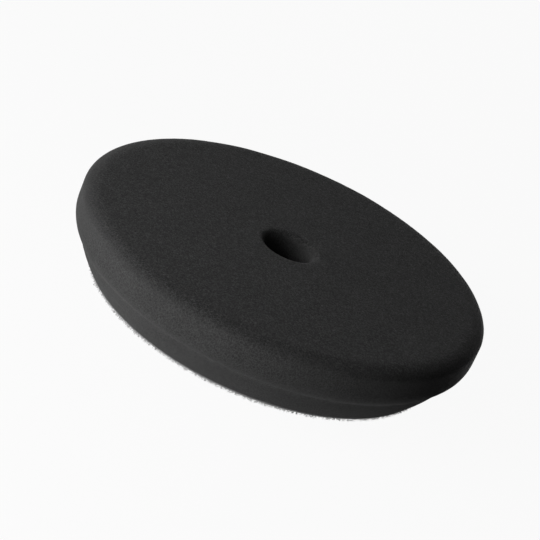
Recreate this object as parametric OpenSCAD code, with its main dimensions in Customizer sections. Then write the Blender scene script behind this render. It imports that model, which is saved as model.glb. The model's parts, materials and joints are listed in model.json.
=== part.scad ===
// Round foam finishing pad for a polisher, with a loop backing and a centre hole.
// It lies on its loops: Z = 0 is the tips of the loops, +Z is the way the working face looks,
// and the Z axis is the axis that the pad turns about.

/* [Foam disc] */
// Widest diameter, at the straight band of the side wall
pad_d = 150; // [140:1:160]
// Thickness of the foam, from the bond to the working face
foam_t = 25.4; // [24:0.1:32]
// Width of the shoulder, measured in from the band to where the working face starts to roll over
shoulder_w = 7; // [3:0.5:10]
// Depth of that shoulder, from the working face down to the straight band
shoulder_h = 3.5; // [2:0.5:5]
// Depth of the straight band below the working face, to where its lower edge would be sharp
band_h = 12.8; // [12:0.1:14]
// Rounding of the band's lower edge
band_edge_r = 6; // [3:0.5:7]
// How far the turned-in lip under the band comes in, to where the taper starts
lip_in = 2.8; // [2:0.1:4]
// How far that lip comes down
lip_drop = 1.8; // [1:0.1:2.5]
// How far the ground taper bows out at its middle, against a straight line
taper_bow = 0.5; // [0:0.1:1.2]
// Diameter that the taper reaches at the bond, before its edge is rounded
foot_d = 130.6; // [128:0.2:134]
// Rounding of the foam's lower edge, where the cutting die pulls it in
foot_edge_r = 1; // [0.4:0.2:3]

/* [Centre hole] */
// Diameter of the hole, which goes through every layer
bore_d = 18; // [14:0.5:20]
// Radius of the rounded rim of the hole at the working face
bore_rim_r = 2.5; // [1:0.25:3]

/* [Loop backing] */
// Diameter of the loop cloth, made to cover a 125 mm backing plate
cloth_d = 130; // [126:0.5:134]
// Height of the loops below the ground cloth
pile_t = 1; // [0.8:0.1:1.6]
// Thickness of the knitted ground cloth
ground_t = 0.4; // [0.3:0.1:0.8]
// Thickness of the hot-melt film that bonds the cloth to the foam
film_t = 0.2; // [0.1:0.1:0.4]
// How far the film stops short of the edge of the cloth
film_inset = 1; // [0.8:0.1:2]

/* [Hidden] */

// Segments in a rounded corner of an outline
corner_steps = 10;
// Segments in the shoulder
shoulder_steps = 14;
// Segments in the bowed taper
taper_steps = 8;
// Segments round a circle in a quick look
$fn = 180;

pad_r = pad_d / 2;
bore_r = bore_d / 2;
cloth_r = cloth_d / 2;
film_r = cloth_r - film_inset;

// Heights of the faces between the layers
ground_z = pile_t;
film_z = ground_z + ground_t;
foam_z = film_z + film_t;
face_z = foam_z + foam_t;

// Corners of the foam's outline as [radius, height], before they are rounded
bore_foot = [bore_r, foam_z];
bore_rim = [bore_r, face_z];
face_edge = [pad_r, face_z];
band_edge = [pad_r, face_z - band_h];
crease = [pad_r - lip_in, face_z - band_h - lip_drop];
foot_edge = [foot_d / 2, foam_z];

function unit(v) = v / norm(v);

// The corner at b, between a and c, as an arc of radius r that touches both sides
function rounded(a, b, c, r) =
    let (
        to_a = unit(a - b),
        to_c = unit(c - b),
        half = acos(to_a * to_c) / 2,
        centre = b + unit(to_a + to_c) * r / sin(half),
        from = b + to_a * r / tan(half) - centre,
        upto = b + to_c * r / tan(half) - centre,
        start = atan2(from[1], from[0]),
        turn = atan2(from[0] * upto[1] - from[1] * upto[0], from * upto)
    )
    [for (i = [0:corner_steps])
        let (angle = start + turn * i / corner_steps)
        centre + r * [cos(angle), sin(angle)]];

// The shoulder as a quarter of an ellipse, from the working face out to the band
function rolled_shoulder() =
    [for (i = [0:shoulder_steps])
        let (angle = 90 * i / shoulder_steps)
        [pad_r - shoulder_w * (1 - sin(angle)), face_z - shoulder_h * (1 - cos(angle))]];

// The ground taper as a shallow parabola, from the crease down to the foot
function bowed_taper() =
    let (run = foot_edge - crease, out = unit([-run[1], run[0]]))
    [for (i = [0:taper_steps])
        let (t = i / taper_steps)
        crease + run * t + out * 4 * taper_bow * t * (1 - t)];

// A flat ring between two radii, with its lower face at height z
module ring(inner_r, outer_r, z, height)
    rotate_extrude()
        translate([inner_r, z])
            square([outer_r - inner_r, height]);

// Open-cell foam: cut as a disc, its lower wall ground to a taper
module foam_disc()
    color("#232325")
        rotate_extrude()
            polygon(concat(
                [bore_foot],
                rounded(bore_foot, bore_rim, face_edge, bore_rim_r),
                rolled_shoulder(),
                rounded(face_edge, band_edge, crease, band_edge_r),
                [for (i = [0:taper_steps - 1]) bowed_taper()[i]],
                rounded(bowed_taper()[taper_steps - 1], foot_edge, bore_foot, foot_edge_r)
            ));

// Hot-melt film between the foam and the cloth
module adhesive_film()
    color("#c9c2ae")
        ring(bore_r, film_r, film_z, film_t);

// Knitted ground that carries the loops
module loop_ground_fabric()
    color("#8f9092")
        ring(bore_r, cloth_r, ground_z, ground_t);

// The loops themselves, as the closed space that they fill
module loop_pile()
    color("#a9aaac")
        ring(bore_r, cloth_r, 0, pile_t);

foam_disc();
adhesive_film();
loop_ground_fabric();
loop_pile();
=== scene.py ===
# %% [markdown]
# # A foam finishing pad, with its loop cloth
# The real thing is a soft black foam disc that puts the last gloss on a car's paint. The foam is
# bonded to a light grey loop cloth, and the hooks of a polisher's backing plate grip those loops.
# The CAD model already holds the size of every layer. This lesson gives each one its own surface:
# foam with cells in it, a knitted ground, thousands of small loops, and the film that bonds them.

# %% Load the frame
import json
import math

import bpy
import numpy as np
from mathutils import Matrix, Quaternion, Vector, kdtree, noise


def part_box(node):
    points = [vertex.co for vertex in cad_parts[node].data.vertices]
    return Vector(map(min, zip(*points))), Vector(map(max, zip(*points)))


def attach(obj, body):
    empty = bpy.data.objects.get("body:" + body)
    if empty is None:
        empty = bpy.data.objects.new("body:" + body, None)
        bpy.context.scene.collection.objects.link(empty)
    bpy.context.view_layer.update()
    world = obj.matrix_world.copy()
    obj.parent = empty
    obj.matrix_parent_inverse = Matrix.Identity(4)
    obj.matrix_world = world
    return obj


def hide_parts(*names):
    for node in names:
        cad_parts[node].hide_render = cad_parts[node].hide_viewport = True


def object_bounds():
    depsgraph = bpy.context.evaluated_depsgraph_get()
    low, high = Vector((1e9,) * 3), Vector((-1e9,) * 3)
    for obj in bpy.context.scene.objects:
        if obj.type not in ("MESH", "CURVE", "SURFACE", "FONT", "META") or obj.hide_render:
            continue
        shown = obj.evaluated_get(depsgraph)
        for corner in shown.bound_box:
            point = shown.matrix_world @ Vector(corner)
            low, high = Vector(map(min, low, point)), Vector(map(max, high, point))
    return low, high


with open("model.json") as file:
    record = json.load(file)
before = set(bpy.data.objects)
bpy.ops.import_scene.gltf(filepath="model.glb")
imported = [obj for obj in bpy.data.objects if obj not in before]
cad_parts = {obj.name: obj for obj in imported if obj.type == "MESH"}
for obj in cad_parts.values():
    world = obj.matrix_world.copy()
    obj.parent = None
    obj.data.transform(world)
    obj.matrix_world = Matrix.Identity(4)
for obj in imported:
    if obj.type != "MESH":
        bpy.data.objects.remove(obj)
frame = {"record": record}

cad_low, cad_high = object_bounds()
print("CAD box in metres:", tuple(cad_low), tuple(cad_high))

# %% [markdown]
# ## Sizes that every layer shares
# Each layer of the pad is a flat ring on one axis, so a layer needs only its radius and its two
# heights. They are read from the CAD boxes, and the hole's radius from the CAD record, so that no
# layer can drift away from the design.

# %% Read the layers
MM = 0.001
foam_low, foam_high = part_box("foam_disc")
film_low, film_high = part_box("adhesive_film")
ground_low, ground_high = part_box("loop_ground_fabric")
pile_low, pile_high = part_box("loop_pile")

mounts = {mount["name"]: mount for mount in frame["record"]["mounts"]}
hole_r = mounts["centre_hole"]["dims"]["r_mm"] * MM
pad_r = foam_high.x
face_z = foam_high.z
bond_z = foam_low.z
print(f"pad {2 * pad_r / MM:.1f} mm across, face at {face_z / MM:.1f} mm, hole {2 * hole_r / MM:.1f} mm")

# %% [markdown]
# ## The foam's outline
# The real disc is cut with straight walls, and its lower half is then ground to a taper, so that
# the edge can flex on curved paint. Half of its cross-section says all of that. Most corners are
# worn round by the cutting, so they are drawn as arcs that touch both sides of a sharp corner.
# The shoulder of the working face rolls over more slowly, twice as wide as it is deep, so that
# one is a quarter of an ellipse, and the ground taper bows out by half a millimetre. The CAD box
# holds only the outer sizes, so the sizes of the section are given again here.

# %% Round a corner
def unit(vector):
    """The vector, made one long."""
    return vector / np.linalg.norm(vector)


def rounded(before, corner, after, radius, steps=10):
    """The corner as an arc that touches both of its sides. Points are (distance from axis, height)."""
    before, corner, after = (np.array(point) for point in (before, corner, after))
    to_before, to_after = unit(before - corner), unit(after - corner)
    half = math.acos(to_before @ to_after) / 2
    centre = corner + unit(to_before + to_after) * radius / math.sin(half)
    start = corner + to_before * radius / math.tan(half) - centre
    end = corner + to_after * radius / math.tan(half) - centre
    turn = math.atan2(start[0] * end[1] - start[1] * end[0], start @ end)
    angles = math.atan2(start[1], start[0]) + turn * np.linspace(0, 1, steps + 1)
    return [tuple(centre + radius * np.array([math.cos(a), math.sin(a)])) for a in angles]


# %% Draw half of the foam's cross-section
shoulder_wide, shoulder_deep = 7 * MM, 3.5 * MM
band_height = 12.8 * MM
band_edge_round = 6 * MM
lip_in, lip_drop = 2.8 * MM, 1.8 * MM
taper_bow = 0.5 * MM
foot_r, foot_round = 65.3 * MM, 1 * MM
hole_rim_round = 2.5 * MM
taper_steps, shoulder_steps = 8, 14

hole_foot = (hole_r, bond_z)
hole_rim = (hole_r, face_z)
face_edge = (pad_r, face_z)
band_edge = (pad_r, face_z - band_height)
crease = (pad_r - lip_in, face_z - band_height - lip_drop)
foot = (foot_r, bond_z)

down = np.linspace(1, 0, taper_steps + 1)[1:, None]
taper_run = np.subtract(foot, crease)
taper_out = unit(np.array([-taper_run[1], taper_run[0]]))
taper = crease + taper_run * down + taper_out * 4 * taper_bow * down * (1 - down)

roll = np.linspace(math.pi / 2, 0, shoulder_steps + 1)
shoulder_r = pad_r - shoulder_wide * (1 - np.sin(roll))
shoulder_z = face_z - shoulder_deep * (1 - np.cos(roll))

foam_shown = (
    rounded(hole_foot, foot, taper[0], foot_round)
    + list(taper)
    + rounded(crease, band_edge, face_edge, band_edge_round)
    + list(zip(shoulder_r, shoulder_z))
    + rounded(face_edge, hole_rim, hole_foot, hole_rim_round)
    + [hole_foot]
)
foam_bonded = [hole_foot, foam_shown[0]]
print("the foam's outline has", len(foam_shown), "points")

# %% [markdown]
# ## Turning an outline into an even skin
# A spun profile has thin, crowded faces near the axis and wide ones at the rim, and fine relief
# then looks different from place to place. Here each ring of points gets as many points as its
# own length asks for, and neighbouring rings are sewn together with triangles. It takes a little
# more code than a spin, and it gives the same size of triangle everywhere.

# %% Walk along an outline in even steps
def even_steps(outline, step):
    """The same line with its points an even step apart."""
    outline = np.array(outline)
    lengths = np.linalg.norm(np.diff(outline, axis=0), axis=1)
    along = np.concatenate([[0], np.cumsum(lengths)])
    at = np.linspace(0, along[-1], max(1, round(along[-1] / step)) + 1)
    return np.column_stack([np.interp(at, along, outline[:, side]) for side in (0, 1)])


# %% Sew two rings together
def sew(first, second):
    """Triangles between two rings, each (index of its first point, number of points, shift)."""
    (a, a_count, a_shift), (b, b_count, b_shift) = first, second
    faces, i, j = [], 0, 0
    while i < a_count or j < b_count:
        here_a, here_b = a + i % a_count, b + j % b_count
        a_first = (i + 1 + a_shift) / a_count <= (j + 1 + b_shift) / b_count
        if j == b_count or (i < a_count and a_first):
            i += 1
            faces.append((here_a, a + i % a_count, here_b))
        else:
            j += 1
            faces.append((here_a, b + j % b_count, here_b))
    return faces


# %% Spin a closed outline into a skin
def spin(stretches, fewest=32):
    """Points, outward normals and faces of a ring-shaped solid. Each stretch is (outline, step)."""
    lines = [even_steps(outline, step)[:-1] for outline, step in stretches]
    steps = np.concatenate([np.full(len(line), step) for line, (_, step) in zip(lines, stretches)])
    line = np.concatenate(lines)
    tangent = np.roll(line, -1, axis=0) - np.roll(line, 1, axis=0)
    outward = np.column_stack([tangent[:, 1], -tangent[:, 0]])
    outward /= np.linalg.norm(outward, axis=1)[:, None]
    points, normals, rings, first = [], [], [], 0
    for index, (radius, height) in enumerate(line):
        count = max(fewest, round(math.tau * radius / steps[index]))
        shift = 0.5 * (index % 2)
        angles = (np.arange(count) + shift) * math.tau / count
        out_r, out_z = outward[index]
        round_x, round_y, level = np.cos(angles), np.sin(angles), np.ones(count)
        points.append(np.column_stack([radius * round_x, radius * round_y, height * level]))
        normals.append(np.column_stack([out_r * round_x, out_r * round_y, out_z * level]))
        rings.append((first, count, shift))
        first += count
    faces = [face for here, after in zip(rings, rings[1:] + rings[:1]) for face in sew(here, after)]
    return np.concatenate(points), np.concatenate(normals), faces


# %% Make a mesh object from arrays
def make_piece(name, points, faces):
    """A smooth-shaded mesh object that rides on the pad. Its finish is added later."""
    mesh = bpy.data.meshes.new(name)
    mesh.from_pydata(points.tolist(), [], faces)
    mesh.shade_smooth()
    mesh.update()
    piece = bpy.data.objects.new(name, mesh)
    bpy.context.scene.collection.objects.link(piece)
    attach(piece, "root")
    print(f"{name}: {len(points)} points, {len(faces)} faces")
    return piece


# %% [markdown]
# ## Cells in the foam
# Cut foam isn't smooth: the knife opens thousands of cells, a few of them much larger than the
# rest, and grinding leaves the wall a little uneven. The finest cells are under half a millimetre
# and belong in the material. What is larger is real shape, so the points themselves move: slow
# waves from the grinding, the shallow cups of open cells, and a few hundred larger pores. The
# knife leaves the face's cells wide open, while the dust from grinding the taper half fills those
# of the wall. A number on each point, called opened, remembers how open its cells are.

# %% Spin the foam
foam_step = 0.57 * MM
bonded_step = 2 * MM
foam_points, foam_normals, foam_faces = spin([(foam_shown, foam_step), (foam_bonded, bonded_step)])
foam_radius = np.hypot(foam_points[:, 0], foam_points[:, 1])
foam_height = foam_points[:, 2]
print("the foam's skin has", len(foam_points), "points")

# %% Mark how open the cells are
wall_opened = 0.2
open_to_depth = 0.5 * shoulder_deep
on_face = np.clip((foam_height - face_z) / open_to_depth + 1, 0, 1)
opened = wall_opened + (1 - wall_opened) * on_face
print(f"{np.mean(on_face == 1):.0%} of the points lie on the face")

# %% Move the skin in and out
wave_depth, wave_size = 0.10 * MM, 14 * MM
uneven_depth, uneven_size = 0.035 * MM, 3 * MM
cup_depth, cup_size, cup_reach = 0.06 * MM, 1.3 * MM, 0.55


def foam_relief(place, openness):
    """How far the skin stands out at a place: grinding waves, unevenness and the cups of open cells."""
    waves = wave_depth * noise.noise(place / wave_size)
    uneven = uneven_depth * noise.noise(place / uneven_size)
    nearest = noise.voronoi(place / cup_size)[0][0]
    return waves + uneven - cup_depth * openness * max(0, 1 - nearest / cup_reach)


relief = np.array([foam_relief(Vector(p), openness) for p, openness in zip(foam_points, opened)])
print(f"relief from {relief.min() / MM:.2f} to {relief.max() / MM:.2f} mm")

# %% Open some larger pores
draw = np.random.default_rng(7)
pore_count = 420
pore_widest, pore_deepest = 0.75 * MM, 0.22 * MM
clear_of_bond = 1 * MM

shown_points = np.flatnonzero(foam_height > bond_z + clear_of_bond)
skin = kdtree.KDTree(len(foam_points))
for index, point in enumerate(foam_points):
    skin.insert(point, index)
skin.balance()
for centre in draw.choice(shown_points, pore_count, replace=False):
    width = pore_widest * draw.uniform(0.6, 1)
    depth = pore_deepest * opened[centre] * draw.uniform(0.4, 1)
    for _, index, away in skin.find_range(foam_points[centre], width):
        relief[index] -= depth * (1 - (away / width) ** 2) ** 2
print(pore_count, "larger pores opened")

# %% [markdown]
# ## The burr at the crease, and a painted highlight on rubbed edges
# Where the ground taper meets the cut wall the grinding wheel leaves a thin line of torn cells.
# It stands up a fraction of a millimetre. Its colour is paler: partly for the torn struts, and
# partly as a painted highlight along the edge. The face's shoulder and the rim of the hole get the
# same pale paint, only less, and nothing stands up there. A second number on each point
# remembers where, for the material.

# %% Raise the burr and mark the painted highlight on rubbed edges
burr_height, burr_width = 0.16 * MM, 1.25 * MM
ragged_size = 2.5 * MM
shoulder_crest, shoulder_rub_highlight_width = 1 * MM, 2.5 * MM
rim_rub_highlight_width = 1.6 * hole_rim_round

from_crease = np.hypot(foam_radius - crease[0], foam_height - crease[1])
ragged = np.array([0.7 + 0.6 * noise.noise(Vector(point) / ragged_size) for point in foam_points])
burr = np.exp(-((from_crease / burr_width) ** 2)) * ragged
relief += burr_height * burr

from_shoulder = np.hypot(foam_radius - pad_r + shoulder_crest, foam_height - face_z + shoulder_crest)
shoulder_rub_highlight = np.exp(-((from_shoulder / shoulder_rub_highlight_width) ** 2))
from_hole_rim = np.hypot(foam_radius - hole_r, foam_height - face_z)
rim_rub_highlight = np.exp(-((from_hole_rim / rim_rub_highlight_width) ** 2))
# how pale each point is painted: torn struts, and a painted highlight on the crease, shoulder and hole rim
rubbed_and_highlit = np.clip(burr + (0.1 * shoulder_rub_highlight + 0.3 * rim_rub_highlight) * ragged, 0, 1)
print(f"{np.mean(rubbed_and_highlit > 0.5):.1%} of the points are more than half rubbed")

# %% Keep the bonded side flat
relief_fades_over = 0.8 * MM
off_bond = np.clip((foam_height - bond_z) / relief_fades_over, 0, 1)
foam_points = foam_points + foam_normals * (relief * off_bond)[:, None]
foam = make_piece("soft_foam_disc", foam_points, foam_faces)
# this number carries the pale paint of the rubbed edges, partly a painted highlight, to the material
foam.data.attributes.new("rubbed_and_highlit", "FLOAT", "POINT").data.foreach_set("value", rubbed_and_highlit)
foam.data.attributes.new("opened", "FLOAT", "POINT").data.foreach_set("value", opened)
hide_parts("foam_disc")

# %% [markdown]
# ## The bonding film
# A thin sheet of hot-melt joins the cloth to the foam. It starts as an even sheet, and the hot
# press squeezes it, so its edge wanders and it ends up thinner in some places than in others. It
# hardly shows, and a plain ring would do for the eye, but an uneven film is what comes off a pad.

# %% Press the film
film_middle = (film_low.z + film_high.z) / 2
film_half = (film_high.z - film_low.z) / 2
film_r = film_high.x
creep_most, creep_size, creep_from = 0.5 * MM, 6 * MM, 0.9
thin_most, thin_size = 0.04 * MM, 4 * MM
film_shown = [
    (hole_r, film_middle - film_half),
    (film_r, film_middle - film_half),
    (film_r, film_middle + film_half),
    (hole_r, film_middle + film_half),
    (hole_r, film_middle - film_half),
]
film_points, _, film_faces = spin([(film_shown, 1.2 * MM)])
for index, point in enumerate(film_points):
    place = Vector(point)
    near_edge = max(0, place.xy.length / film_r - creep_from) / (1 - creep_from)
    creep = creep_most * noise.noise(place / creep_size) * near_edge
    thin = thin_most * (1 + noise.noise(place / thin_size))
    outward = Vector((place.x, place.y, 0)).normalized()
    place += outward * creep
    place.z -= math.copysign(thin, place.z - film_middle)
    film_points[index] = place
film = make_piece("pressed_adhesive_film", film_points, film_faces)
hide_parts("adhesive_film")

# %% [markdown]
# ## The knitted ground
# The loops grow out of a warp-knitted ground cloth, whose stitches stand in straight columns,
# called wales, about one to the millimetre. Knitting each stitch as yarn would cost millions of
# faces for a layer that the loops nearly hide. The ring is spun like the foam, and its lower side
# is pressed into wales and courses by a short formula in X and Y.

# %% Knit the ground
wale_pitch = 1.0 * MM
course_pitch = 1.3 * MM
stitch_relief = 0.07 * MM
ground_r = ground_high.x
ground_top, ground_under = ground_high.z, ground_low.z
ground_stretches = [
    ([(hole_r, ground_under), (ground_r, ground_under)], 0.42 * MM),
    ([(ground_r, ground_under), (ground_r, ground_top)], 0.2 * MM),
    ([(ground_r, ground_top), (hole_r, ground_top)], 2 * MM),
    ([(hole_r, ground_top), (hole_r, ground_under)], 0.2 * MM),
]


def stitch_height(x, y):
    """From 0 in the gaps between stitches to 1 on their crowns. Every second wale is half a stitch on."""
    wale = np.round(x / wale_pitch)
    across = np.cos(math.pi * (x / wale_pitch - wale)) ** 2
    along = 0.6 + 0.4 * np.cos(math.tau * (y / course_pitch + 0.5 * (wale % 2)))
    return across * along


ground_points, ground_normals, ground_faces = spin(ground_stretches)
under = ground_normals[:, 2] < -0.5
sunk = stitch_relief * (1 - stitch_height(ground_points[:, 0], ground_points[:, 1]))
ground_points[:, 2] += np.where(under, sunk, 0)
ground = make_piece("knitted_ground_cloth", ground_points, ground_faces)
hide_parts("loop_ground_fabric")

# %% [markdown]
# ## Thousands of loops
# The pile is nylon yarn, pulled into loops and brushed, so that each loop leans its own way. Hair
# curves would draw faster, but they don't leave Blender as a mesh. Instead all the loops are made
# at once as arrays: one row of numbers for each loop's place, lean and height. A tube of three
# sides, smooth shaded, is round enough at a fifth of a millimetre.

# %% Sweep many tubes at once
def tubes(centres, radii, flats, sides=3):
    """Points and faces of thin tubes. centres is (tubes, rings, 3), and flats is across each tube."""
    count, rings, _ = centres.shape
    along = np.gradient(centres, axis=1)
    along /= np.linalg.norm(along, axis=2, keepdims=True)
    flats = flats[:, None, :] - along * (along * flats[:, None, :]).sum(2, keepdims=True)
    flats /= np.linalg.norm(flats, axis=2, keepdims=True)
    other = np.cross(along, flats)
    turn = np.arange(sides) * math.tau / sides
    shape = np.cos(turn)[:, None] * flats[:, :, None] + np.sin(turn)[:, None] * other[:, :, None]
    points = centres[:, :, None] + radii[:, :, None, None] * shape
    ring, side = np.meshgrid(np.arange(rings - 1) * sides, np.arange(sides), indexing="ij")
    after = (side + 1) % sides
    walls = np.stack([ring + side, ring + after, ring + sides + after, ring + sides + side], -1)
    starts = np.arange(count)[:, None, None] * rings * sides
    faces = (walls.reshape(1, -1, 4) + starts).reshape(-1, 4).tolist()
    caps = starts[:, :, 0] + np.arange(sides)[::-1]
    faces += caps.tolist() + (starts[:, :, 0] + (rings - 1) * sides + np.arange(sides)).tolist()
    return points.reshape(-1, 3), faces


# %% Lay out the loops in wales and courses
loop_pitch_x, loop_pitch_y = 0.95 * MM, 0.88 * MM
loop_jitter = 0.22 * MM
clear_of_rim, clear_of_hole = 0.25 * MM, 0.3 * MM
pile_r = pile_high.x
columns = math.ceil(pile_r / loop_pitch_x)
rows = math.ceil(pile_r / loop_pitch_y)
column, row = np.meshgrid(np.arange(-columns, columns + 1), np.arange(-rows, rows + 1), indexing="ij")
roots = np.column_stack([
    (column * loop_pitch_x).ravel(),
    ((row + 0.5 * (column % 2)) * loop_pitch_y).ravel(),
])
wale_of_root = column.ravel()
roots += draw.uniform(-loop_jitter, loop_jitter, roots.shape)
root_r = np.hypot(roots[:, 0], roots[:, 1])
inside = (root_r < pile_r - clear_of_rim) & (root_r > hole_r + clear_of_hole)
roots, wale_of_root = roots[inside], wale_of_root[inside]
print(len(roots), "loops")

# %% Bend each loop
loop_rings = 7
yarn_r = 0.105 * MM
loop_tip = pile_low.z + yarn_r
root_sunk = 0.05 * MM
turn_spread, lean_spread, swing_spread = 0.55, 0.3 * MM, 0.25 * MM


def bend_loops(roots, draw):
    """Centre lines, radii and flats of loops that stand on the ground and lean at random."""
    count = len(roots)
    t = np.linspace(0, 1, loop_rings)
    turned = draw.normal(math.pi / 2, turn_spread, count)
    along = np.column_stack([np.cos(turned), np.sin(turned), np.zeros(count)])
    across = np.column_stack([-np.sin(turned), np.cos(turned), np.zeros(count)])
    span = draw.uniform(0.55, 0.95, count) * MM
    tall = (ground_under - loop_tip) * draw.uniform(0.72, 1, count)
    lean = draw.normal(0, lean_spread, count)
    swing = draw.normal(0, swing_spread, count)
    out = -0.5 * np.cos(math.pi * t) * (1 + 0.35 * np.sin(math.pi * t))
    down = np.sin(math.pi * t) ** 0.8
    centres = np.zeros((count, loop_rings, 3))
    centres[:, :, :2] = roots[:, None, :]
    centres[:, :, 2] = ground_under + root_sunk
    centres += along[:, None, :] * (span[:, None] * out + lean[:, None] * down)[:, :, None]
    centres += across[:, None, :] * (swing[:, None] * down**2)[:, :, None]
    centres[:, :, 2] -= (tall + root_sunk)[:, None] * down
    radii = yarn_r * draw.uniform(0.8, 1.15, count)[:, None] * np.ones(loop_rings)
    return centres, radii, across


# %% Raise the pile in four passes
passes = 4
piles = []
for number in range(passes):
    chosen = roots[wale_of_root % passes == number]
    loop_points, loop_faces = tubes(*bend_loops(chosen, draw))
    loop_points[:, 2] = np.maximum(loop_points[:, 2], pile_low.z)
    piles.append(make_piece(f"pile_loops_pass_{number + 1}", loop_points, loop_faces))
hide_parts("loop_pile")

# %% [markdown]
# ## The frayed rim
# The cloth is die-cut, which cuts through loops and stitches, so the rim is a ragged fringe of
# yarn ends. They are short tubes that start inside the ground, run outwards and thin to a point.

# %% Fray the cut edges
end_r = 0.07 * MM
end_rings = 5
root_inside = 0.3 * MM
end_bend = 0.35 * MM


def fray(radius, count, longest, draw):
    """Yarn ends around a cut edge. A negative longest points them into the hole."""
    around = draw.uniform(0, math.tau, count)
    t = np.linspace(0, 1, end_rings)
    outward = np.column_stack([np.cos(around), np.sin(around), np.zeros(count)])
    sideways = np.column_stack([-np.sin(around), np.cos(around), np.zeros(count)])
    length = longest * draw.uniform(0.25, 1, count)
    bend = draw.normal(0, end_bend, count)
    droop = draw.uniform(-0.15, 0.5, count) * MM
    height = draw.uniform(pile_low.z + 0.35 * MM, ground_top - 0.1 * MM, count)
    reach = radius - math.copysign(root_inside, longest) + length[:, None] * t
    centres = outward[:, None, :] * reach[:, :, None]
    centres += sideways[:, None, :] * (bend[:, None] * t**2)[:, :, None]
    centres[:, :, 2] = np.maximum(height[:, None] - droop[:, None] * t**2, pile_low.z + 0.1 * MM)
    radii = end_r * draw.uniform(0.7, 1.2, count)[:, None] * (1 - 0.75 * t**2)
    upward = np.tile([0.0, 0.0, 1.0], (count, 1))
    return tubes(centres, radii, upward)


rim_points, rim_faces = fray(ground_r, 2600, 0.9 * MM, draw)
frayed_rim = make_piece("frayed_rim_yarn", rim_points, rim_faces)
hole_points, hole_faces = fray(hole_r, 380, -0.6 * MM, draw)
frayed_hole = make_piece("frayed_hole_yarn", hole_points, hole_faces)

# %% [markdown]
# ## Building materials from nodes
# Every finish below is a pattern worked out by shader nodes, measured in metres on the piece
# itself, so a foam cell keeps its size however the piece is cut. A few small helpers keep the
# recipes short: they add a node and fill or link its inputs, mix two colours, stretch a number
# to a new range, name a grey, and start a material.

# %% Helpers for materials
def node(tree, kind, inputs=None, **settings):
    """A shader node. Each input is a plain value, or another node's output to link."""
    made = tree.nodes.new("ShaderNode" + kind)
    for name, value in settings.items():
        setattr(made, name, value)
    for name, value in (inputs or {}).items():
        if isinstance(value, bpy.types.NodeSocket):
            tree.links.new(value, made.inputs[name])
        else:
            made.inputs[name].default_value = value
    return made


def mix(tree, factor, first, second, how="MIX"):
    """Two colours mixed: factor 0 gives the first. The colour inputs are numbers 6 and 7."""
    return node(tree, "Mix", {0: factor, 6: first, 7: second}, data_type="RGBA", blend_type=how).outputs[2]


def spread(tree, value, low, high, out_low=0.0, out_high=1.0):
    """A number from low to high, stretched to run from out_low to out_high."""
    limits = {"Value": value, "From Min": low, "From Max": high, "To Min": out_low, "To Max": out_high}
    return node(tree, "MapRange", limits).outputs["Result"]


def grey(level):
    """A neutral colour."""
    return (level, level, level, 1)


def start_material(name):
    """A new material, its node tree and its shader."""
    material = bpy.data.materials.new(name)
    material.use_nodes = True
    return material, material.node_tree, material.node_tree.nodes["Principled BSDF"]


# %% [markdown]
# ## Open-cell foam
# Under a lens the foam is a web of thin struts around dark holes. Distance to the nearest cell
# edge is exactly that picture: small on a strut, large inside a hole. Two sizes of cell together
# stop the pattern from looking printed, and each cell is cut open to its own depth, so each gets
# its own darkness. That last part is what still shows as grain from arm's length. The web drives
# the bump too, so every dark hole is also a hollow. On the dusty wall the holes are paler and the
# struts duller, so the number called opened mixes an open foam with a dusty one.

# %% Mix the foam
fine_cell = 0.48 * MM
large_cell = 1.05 * MM
cut_cell, cut_swing = 0.62 * MM, 0.52
cloud_size = 18 * MM
open_hole, open_strut = grey(0.003), grey(0.068)
dusty_hole, dusty_strut = grey(0.019), grey(0.046)
# a pale grey for torn struts, which also paints a highlight on the rubbed edges
torn_highlight_grey = grey(0.072)


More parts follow.
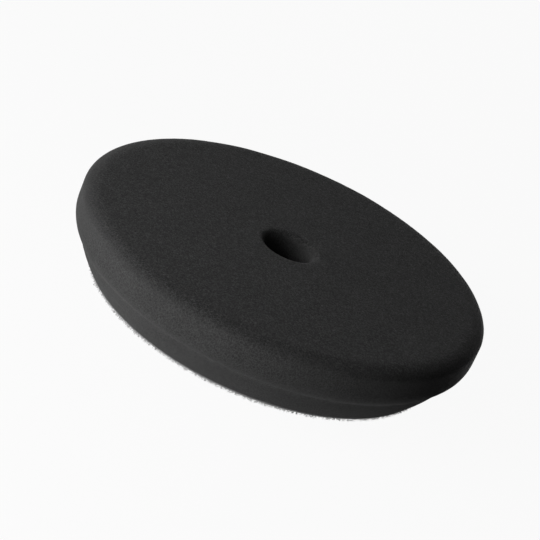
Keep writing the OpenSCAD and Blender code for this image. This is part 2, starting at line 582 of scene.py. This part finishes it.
def foam_finish():
    """Matte black open-cell foam, paler where the piece is rubbed, which is partly a painted highlight."""
    material, tree, shader = start_material("open_cell_foam")
    place = node(tree, "TexCoord").outputs["Object"]
    rub_highlight = node(tree, "Attribute", attribute_name="rubbed_and_highlit").outputs["Fac"]
    opened = node(tree, "Attribute", attribute_name="opened").outputs["Fac"]
    fine = node(tree, "TexVoronoi", {"Vector": place, "Scale": 1 / fine_cell}, feature="DISTANCE_TO_EDGE")
    large = node(tree, "TexVoronoi", {"Vector": place, "Scale": 1 / large_cell}, feature="DISTANCE_TO_EDGE")
    struts = spread(tree, fine.outputs["Distance"], 0.02, 0.26, 1, 0)
    webs = spread(tree, large.outputs["Distance"], 0.0, 0.32, 1, 0.3)
    web = node(tree, "Math", {0: struts, 1: webs}, operation="MULTIPLY").outputs[0]
    clouds = node(tree, "TexNoise", {"Vector": place, "Scale": 1 / cloud_size, "Detail": 3.0})
    cloudy = spread(tree, clouds.outputs["Fac"], 0.3, 0.7, 0.92, 1.08)
    cut = node(tree, "TexVoronoi", {"Vector": place, "Scale": 1 / cut_cell})
    cut_random = node(tree, "SeparateColor", {"Color": cut.outputs["Color"]}).outputs["Red"]
    cut_depth = spread(tree, cut_random, 0, 1, -cut_swing, cut_swing)
    uneven = node(tree, "Math", {0: cut_depth, 1: opened, 2: cloudy}, operation="MULTIPLY_ADD").outputs[0]
    struts_colour = mix(tree, opened, dusty_strut, open_strut)
    # rubbed edges get paler struts: a painted highlight, with some real torn fuzz
    struts_colour = mix(tree, rub_highlight, struts_colour, torn_highlight_grey)
    holes_colour = mix(tree, opened, dusty_hole, open_hole)
    colour = mix(tree, web, holes_colour, struts_colour)
    shade = node(tree, "CombineColor", {"Red": uneven, "Green": uneven, "Blue": uneven})
    colour = mix(tree, 1.0, colour, shade.outputs["Color"], "MULTIPLY")
    bump = node(tree, "Bump", {"Height": web, "Strength": 0.5, "Distance": 0.1 * MM})
    tree.links.new(colour, shader.inputs["Base Color"])
    tree.links.new(bump.outputs["Normal"], shader.inputs["Normal"])
    shader.inputs["Roughness"].default_value = 0.95
    shader.inputs["Specular IOR Level"].default_value = 0.2
    shader.inputs["Sheen Weight"].default_value = 0.08
    shader.inputs["Sheen Roughness"].default_value = 0.6
    return material


foam.data.materials.append(foam_finish())

# %% [markdown]
# ## Nylon yarn
# The loops and the knitted ground are one light grey nylon. Yarn is never one colour: each loop
# takes the dye and the dust a little differently, and each yarn is a bundle of fine filaments that
# run along it. A soft noise at the size of a loop does the first. A much finer one, as bump, does
# the second, and sheen gives the bright edge that brushed nylon has.

# %% Mix the yarn
filament = 0.09 * MM


def yarn_finish(name, pale, dark, patch):
    """Brushed nylon whose tone drifts from loop to loop."""
    material, tree, shader = start_material(name)
    place = node(tree, "TexCoord").outputs["Object"]
    loops = node(tree, "TexNoise", {"Vector": place, "Scale": 1 / patch, "Detail": 2.0})
    wide = node(tree, "TexNoise", {"Vector": place, "Scale": 1 / (16 * MM), "Detail": 3.0})
    drift = spread(tree, loops.outputs["Fac"], 0.32, 0.68)
    drift_wide = spread(tree, wide.outputs["Fac"], 0.3, 0.7, 0, 0.45)
    colour = mix(tree, drift, dark, pale)
    colour = mix(tree, drift_wide, colour, dark)
    strands = node(tree, "TexNoise", {"Vector": place, "Scale": 1 / filament, "Detail": 2.0})
    bump = node(tree, "Bump", {"Height": strands.outputs["Fac"], "Strength": 0.5, "Distance": 0.03 * MM})
    tree.links.new(colour, shader.inputs["Base Color"])
    tree.links.new(bump.outputs["Normal"], shader.inputs["Normal"])
    shader.inputs["Roughness"].default_value = 0.7
    shader.inputs["Sheen Weight"].default_value = 0.25
    shader.inputs["Sheen Roughness"].default_value = 0.4
    return material


pile_finish = yarn_finish("brushed_nylon_loops", grey(0.42), grey(0.24), 1.1 * MM)
for piece in [*piles, frayed_rim, frayed_hole]:
    piece.data.materials.append(pile_finish)

# %% Mix the ground cloth
def ground_finish():
    """The same nylon, darker in the gaps between its wales."""
    material = yarn_finish("knitted_nylon_ground", grey(0.34), grey(0.2), 0.8 * MM)
    tree = material.node_tree
    shader = tree.nodes["Principled BSDF"]
    base = shader.inputs["Base Color"].links[0].from_socket
    place = node(tree, "TexCoord").outputs["Object"]
    wave_scale = math.tau / (20 * wale_pitch)  # at scale 1 a wave texture repeats every tau / 20
    wales = node(tree, "TexWave", {"Vector": place, "Scale": wave_scale, "Distortion": 0.6})
    gaps = spread(tree, wales.outputs["Fac"], 0.0, 0.6, 0.5, 0)
    tree.links.new(mix(tree, gaps, base, grey(0.1)), shader.inputs["Base Color"])
    return material


ground.data.materials.append(ground_finish())

# %% [markdown]
# ## Hot-melt film
# Pressed hot-melt is a cloudy cream plastic, a little glossier where it pooled. Two noises are
# enough: one clouds the colour, the other sets how rough each patch is.

# %% Mix the film
def film_finish():
    """Cloudy cream hot-melt."""
    material, tree, shader = start_material("hot_melt_film")
    place = node(tree, "TexCoord").outputs["Object"]
    clouds = node(tree, "TexNoise", {"Vector": place, "Scale": 1 / (5 * MM), "Detail": 4.0})
    pools = node(tree, "TexNoise", {"Vector": place, "Scale": 1 / (2 * MM), "Detail": 2.0})
    cream, chalk = (0.66, 0.60, 0.47, 1), (0.78, 0.75, 0.68, 1)
    colour = mix(tree, spread(tree, clouds.outputs["Fac"], 0.35, 0.65), cream, chalk)
    rough = spread(tree, pools.outputs["Fac"], 0.3, 0.7, 0.32, 0.6)
    bump = node(tree, "Bump", {"Height": pools.outputs["Fac"], "Strength": 0.3, "Distance": 0.05 * MM})
    tree.links.new(colour, shader.inputs["Base Color"])
    tree.links.new(rough, shader.inputs["Roughness"])
    tree.links.new(bump.outputs["Normal"], shader.inputs["Normal"])
    return material


film.data.materials.append(film_finish())

# %% [markdown]
# ## A pale sweep to stand on
# A black pad reads best on a pale floor with no horizon behind it. Studios use a sweep: a floor
# that curves up into a wall. This one runs all the way round, so it is there in every view. Its
# paint glows, as a lit table does, which keeps the pad's own shadow faint. Only the camera sees
# it: it throws no light on the pad, and a lamp below its level still shines through.

# %% Build the sweep
sweep_flat, sweep_bend, sweep_top = 1.3, 0.7, 2.0
sweep_sides, bend_steps = 96, 12
bend = np.linspace(0, math.pi / 2, bend_steps + 1)
sweep_outline = [(0.02, 0.0), (0.3, 0.0), (0.7, 0.0)]
sweep_outline += [(sweep_flat + sweep_bend * math.sin(b), sweep_bend * (1 - math.cos(b))) for b in bend]
sweep_outline += [(sweep_flat + sweep_bend, sweep_top)]

turns = np.arange(sweep_sides) * math.tau / sweep_sides
sweep_points = [(r * math.cos(a), r * math.sin(a), cad_low.z + z) for r, z in sweep_outline for a in turns]
sweep_faces = [tuple(range(sweep_sides))]
for level in range(len(sweep_outline) - 1):
    for side in range(sweep_sides):
        after = (side + 1) % sweep_sides
        inner, outer = level * sweep_sides, (level + 1) * sweep_sides
        sweep_faces.append((inner + side, outer + side, outer + after, inner + after))
sweep_mesh = bpy.data.meshes.new("sweep")
sweep_mesh.from_pydata(sweep_points, [], sweep_faces)
sweep_mesh.shade_smooth()
sweep = bpy.data.objects.new("sweep", sweep_mesh)
bpy.context.scene.collection.objects.link(sweep)
for kind in ("visible_diffuse", "visible_glossy", "visible_transmission", "visible_shadow"):
    setattr(sweep, kind, False)
print("the sweep is", 2 * (sweep_flat + sweep_bend), "m across")

# %% Paint the sweep
sweep_paint, _, sweep_shader = start_material("lit_white_paint")
sweep_shader.inputs["Base Color"].default_value = grey(0.05)
sweep_shader.inputs["Roughness"].default_value = 1.0
sweep_shader.inputs["Specular IOR Level"].default_value = 0.0
sweep_shader.inputs["Emission Color"].default_value = grey(1.0)
sweep_shader.inputs["Emission Strength"].default_value = 0.94
sweep_mesh.materials.append(sweep_paint)

# %% [markdown]
# ## Soft light from low on the left
# Black foam shows its shape only if one side of it is lit and the other isn't. Most of the light
# here comes from two low softboxes at the front left, so that it grazes the face and fills the
# wall. A third stands behind, for the far rim. Two more sit below the level of the face: one is
# the glow that a lit table throws up at the taper, and one, far round to the back right, keeps
# the dark side from going quite black.

# %% Light the pad
def soft_light(name, around, above, power, away=0.5, size=0.35):
    """A square lamp aimed at the pad. around is its bearing from the camera's side, in degrees."""
    lamp = bpy.data.lights.new(name, "AREA")
    lamp.energy, lamp.size = power, size
    light = bpy.data.objects.new(name, lamp)
    bpy.context.scene.collection.objects.link(light)
    a, e = math.radians(around), math.radians(above)
    toward = Vector((math.sin(a) * math.cos(e), -math.cos(a) * math.cos(e), math.sin(e)))
    light.location = Vector((0, 0, face_z)) + toward * away
    light.rotation_mode = "QUATERNION"
    light.rotation_quaternion = toward.to_track_quat("Z", "Y")
    light.visible_camera = False


soft_light("left_key", around=-63, above=14, power=1.98)
soft_light("front_left_key", around=-28, above=12, power=0.85)
soft_light("back_left_rim", around=-150, above=12, power=0.25)
soft_light("table_glow", around=-28, above=-12, power=1.0, size=0.22)
soft_light("right_fill", around=152, above=-7, power=1.9, away=0.7)

# %% Fill the room very faintly
world = bpy.data.worlds.new("room")
world.use_nodes = True
bpy.context.scene.world = world
world.node_tree.nodes["Background"].inputs["Color"].default_value = grey(1.0)
world.node_tree.nodes["Background"].inputs["Strength"].default_value = 0.025

# %% [markdown]
# ## The camera
# The pad is seen from about 25 degrees above its face, from two thirds of a metre, with a long
# lens. The camera is also rolled, so that the pad leans in the picture. Three plain numbers, how
# high, how far and how much roll, are easier to correct than a matrix.

# %% Set the camera
camera_above = math.radians(24.914)
camera_away = 0.6868
camera_roll = math.radians(23.62)
aim = Vector((-0.0029, -0.0243, face_z))

camera_data = bpy.data.cameras.new("camera")
camera_data.lens, camera_data.sensor_width = 131.12, 36
camera = bpy.data.objects.new("camera", camera_data)
bpy.context.scene.collection.objects.link(camera)
bpy.context.scene.camera = camera
height, back = math.sin(camera_above), math.cos(camera_above)
camera.location = Vector((0, 0, face_z)) + camera_away * Vector((0, -back, height))
looking_at = (aim - camera.location).to_track_quat("-Z", "Y")
camera.rotation_mode = "QUATERNION"
camera.rotation_quaternion = looking_at @ Quaternion((0, 0, 1), camera_roll)
camera_data.clip_start, camera_data.clip_end = 0.01, 20
bpy.context.scene.view_settings.view_transform = "Standard"
print("camera at", tuple(round(x, 3) for x in camera.location))
